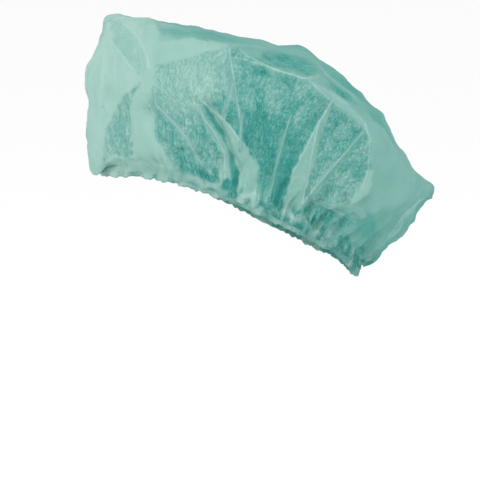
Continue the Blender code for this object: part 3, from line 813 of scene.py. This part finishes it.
def nonwoven(name, k, lines=()):
    made, tree = newMaterial(name)
    out = addNode(tree, "ShaderNodeOutputMaterial")
    object3d = addNode(tree, "ShaderNodeTexCoord").outputs["Object"]
    tone = addNode(tree, "ShaderNodeAttribute", {"attribute_name": "tone"}).outputs["Fac"]
    mottle = addNode(tree, "ShaderNodeAttribute", {"attribute_name": "mottle"}).outputs["Fac"]
    # coordinates pushed about a little, so that flecks and creases wander as in real cloth
    drift = addNode(tree, "ShaderNodeTexNoise", {"Scale": k["driftScale"], "Detail": 2.0},
                    {"Vector": object3d}).outputs["Color"]
    pushed = addNode(tree, "ShaderNodeVectorMath", {"operation": "MULTIPLY_ADD", 1: (k["push"],) * 3},
                     {0: drift, 2: object3d}).outputs["Vector"]
    # flecks follow the way the cloth is drawn
    parts = addNode(tree, "ShaderNodeSeparateXYZ", links={0: object3d})
    lean = addNode(tree, "ShaderNodeMapRange",
                   {"From Min": k["leanFront"][0], "From Max": k["leanBack"][0],
                    "To Min": math.radians(k["leanFront"][1]), "To Max": math.radians(k["leanBack"][1])},
                   {"Value": parts.outputs["Y"]}).outputs[0]
    leaning = addNode(tree, "ShaderNodeVectorRotate", {"rotation_type": "X_AXIS", "Center": k["leanCentre"]},
                      {"Vector": pushed, "Angle": lean}).outputs[0]
    drawn = addNode(tree, "ShaderNodeMapping", {"Scale": (1.0, 1.0, 1.0 / k["fleckStretch"])},
                    {"Vector": leaning}).outputs[0]
    flecks = addNode(tree, "ShaderNodeTexNoise", {"Scale": 1 / k["fleckSize"] / 2, "Detail": 3.0,
                                                  "Roughness": 0.7}, {"Vector": drawn}).outputs["Fac"]
    longer = addNode(tree, "ShaderNodeMapping", {"Scale": (1.0, 1.0, 0.5)}, {"Vector": drawn}).outputs[0]
    clumps = addNode(tree, "ShaderNodeTexNoise", {"Scale": k["clumpScale"], "Detail": 3.0,
                                                  "Roughness": 0.65}, {"Vector": longer}).outputs["Fac"]
    waves = addNode(tree, "ShaderNodeTexNoise", {"Scale": 1 / k["streakSize"], "Detail": 2.0,
                                                 "Roughness": 0.6}, {"Vector": longer}).outputs["Fac"]
    both = contourLines(tree, waves, k["streakWidth"], k["streakLight"])
    for key, field in (("clump", clumps), ("fleck", flecks)):
        low, high = k[key + "Range"]
        darker, paler = k[key + "Light"]
        light = addNode(tree, "ShaderNodeMapRange", {"From Min": low, "From Max": high, "To Min": darker,
                                                     "To Max": paler}, {"Value": field}).outputs[0]
        both = addNode(tree, "ShaderNodeMath", {"operation": "ADD"}, {0: both, 1: light}).outputs[0]
    shade = addNode(tree, "ShaderNodeMath", {"operation": "MULTIPLY_ADD"},
                    {0: both, 1: mottle, 2: tone}).outputs[0]
    # fine wrinkles everywhere, drawn as paler lines: painted highlights
    folds = addNode(tree, "ShaderNodeTexNoise", {"Scale": k["wrinkleScale"], "Detail": 1.0, "Roughness": 0.4},
                    {"Vector": leaning}).outputs["Fac"]
    wrinkleHighlights = contourLines(tree, folds, k["wrinkleWidth"], k["wrinkleLight"])
    shade = addNode(tree, "ShaderNodeMath", {"operation": "ADD"}, {0: shade, 1: wrinkleHighlights}).outputs[0]
    fibres = addNode(tree, "ShaderNodeTexNoise", {"Scale": 1 / k["fibreSize"] / 2, "Detail": 2.0},
                     {"Vector": object3d}).outputs["Fac"]
    height = addNode(tree, "ShaderNodeMath", {"operation": "MULTIPLY_ADD"},
                     {0: flecks, 1: mottle, 2: fibres}).outputs[0]
    if lines:
        sway = addNode(tree, "ShaderNodeVectorMath", {"operation": "MULTIPLY_ADD", 1: (k["creasePush"],) * 3},
                       {0: drift, 2: object3d}).outputs["Vector"]
        centred = addNode(tree, "ShaderNodeVectorMath", {"operation": "SUBTRACT",
                                                         1: (k["creasePush"] / 2,) * 3},
                          {0: sway}).outputs["Vector"]
        # painted highlights along the thin creases, where the side view's pattern shows
        thin = creaseHighlights(tree, sideViewNodes(tree, centred), lines)
        creased = addNode(tree, "ShaderNodeAttribute", {"attribute_name": "creased"}).outputs["Fac"]
        shade = addNode(tree, "ShaderNodeMath", {"operation": "MULTIPLY_ADD"},
                        {0: thin, 1: creased, 2: shade}).outputs[0]
    colour = addNode(tree, "ShaderNodeValToRGB", links={"Fac": shade}).outputs["Color"]
    stops = colour.node.color_ramp.elements
    stops[0].position, stops[0].color = 0.0, linearColour(k["darkest"])
    stops[1].position, stops[1].color = 1.0, linearColour(k["palest"])
    for at, key in ((0.25, "dark"), (0.5, "middle"), (0.75, "pale")):
        stops.new(at).color = linearColour(k[key])
    bump = addNode(tree, "ShaderNodeBump", {"Strength": k["bumpStrength"], "Distance": k["bumpHeight"]},
                   {"Height": height}).outputs[0]
    surface = addNode(tree, "ShaderNodeBsdfPrincipled", {"Roughness": k["roughness"], "IOR": k["ior"],
                                                         "Specular IOR Level": k["specular"]},
                      {"Base Color": colour, "Normal": bump}).outputs[0]
    through = addNode(tree, "ShaderNodeBsdfTranslucent", links={"Color": colour, "Normal": bump}).outputs[0]
    mixed = addNode(tree, "ShaderNodeMixShader", {0: k["throughShare"]}, {1: surface, 2: through}).outputs[0]
    tree.links.new(mixed, out.inputs["Surface"])
    return made


crownCloth.data.materials.append(nonwoven("spunbond_nonwoven", cloth, creases))
hemCloth.data.materials.append(nonwoven("spunbond_nonwoven_hem", cloth))


# Knitted elastic: white rubber threads under polyester yarn, matt and finely ribbed

knit = {
    "grey": "#c9cbc6", "white": "#e2e3df", "roughness": 0.75, "ior": 1.52,
    "ribScale": 300.0,       # ribs about a millimetre apart
    "bumpStrength": 0.4, "bumpHeight": 0.0002,
}


def knittedElastic(k):
    made, tree = newMaterial("knitted_elastic")
    out = addNode(tree, "ShaderNodeOutputMaterial")
    where = addNode(tree, "ShaderNodeTexCoord").outputs["Object"]
    ribs = addNode(tree, "ShaderNodeTexWave",
                   {"Scale": k["ribScale"], "Distortion": 1.0, "bands_direction": "Z"},
                   {"Vector": where}).outputs["Fac"]
    colour = addNode(tree, "ShaderNodeMix", {"data_type": "RGBA", 6: linearColour(k["grey"]),
                                             7: linearColour(k["white"])}, {0: ribs}).outputs[2]
    bump = addNode(tree, "ShaderNodeBump", {"Strength": k["bumpStrength"], "Distance": k["bumpHeight"]},
                   {"Height": ribs}).outputs[0]
    surface = addNode(tree, "ShaderNodeBsdfPrincipled", {"Roughness": k["roughness"], "IOR": k["ior"]},
                      {"Base Color": colour, "Normal": bump}).outputs[0]
    tree.links.new(surface, out.inputs["Surface"])
    return made


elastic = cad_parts["elastic"]
elastic.data.materials.clear()
elastic.data.materials.append(knittedElastic(knit))

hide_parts("crown")
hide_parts("hem")
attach(crownCloth, body)
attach(hemCloth, body)
print("materials done")


# A plain pale floor and soft studio light

studio = {
    "floorDrop": 0.30, "floorSize": 40.0, "floor": "#fbfbfb", "floorRoughness": 0.9, "sky": 1.0,
    # name, place and size in metres, power in watts
    "lamps": (("key", (1.0, -1.3, 1.3), 1.2, 12.0), ("fill", (1.6, 0.9, 0.5), 1.4, 5.0)),
}


def addStudio(s):
    mesh = bmesh.new()
    bmesh.ops.create_grid(mesh, x_segments=1, y_segments=1, size=s["floorSize"] / 2)
    bmesh.ops.translate(mesh, verts=mesh.verts, vec=(0.0, 0.0, cadBox[0].z - s["floorDrop"]))
    floor = finishMesh("floor", mesh, smooth=False)
    made, tree = newMaterial("studio_floor")
    surface = addNode(tree, "ShaderNodeBsdfPrincipled", {"Base Color": linearColour(s["floor"]),
                                                         "Roughness": s["floorRoughness"]}).outputs[0]
    out = addNode(tree, "ShaderNodeOutputMaterial")
    tree.links.new(surface, out.inputs["Surface"])
    floor.data.materials.append(made)
    world = bpy.data.worlds.new("studio")
    world.use_nodes = True
    sky = world.node_tree.nodes["Background"].inputs
    sky["Color"].default_value = (1.0, 1.0, 1.0, 1.0)
    sky["Strength"].default_value = s["sky"]
    bpy.context.scene.world = world


def addLamp(name, place, size, power):
    lamp = bpy.data.lights.new(name, "AREA")
    lamp.size = size
    lamp.energy = power
    made = bpy.data.objects.new(name, lamp)
    made.location = place
    made.rotation_mode = "QUATERNION"
    made.rotation_quaternion = Vector(place).to_track_quat("Z", "Y")
    bpy.context.scene.collection.objects.link(made)


addStudio(studio)
for name, place, size, power in studio["lamps"]:
    addLamp(name, place, size, power)
bpy.context.scene.view_settings.view_transform = "Standard"
print("studio done")
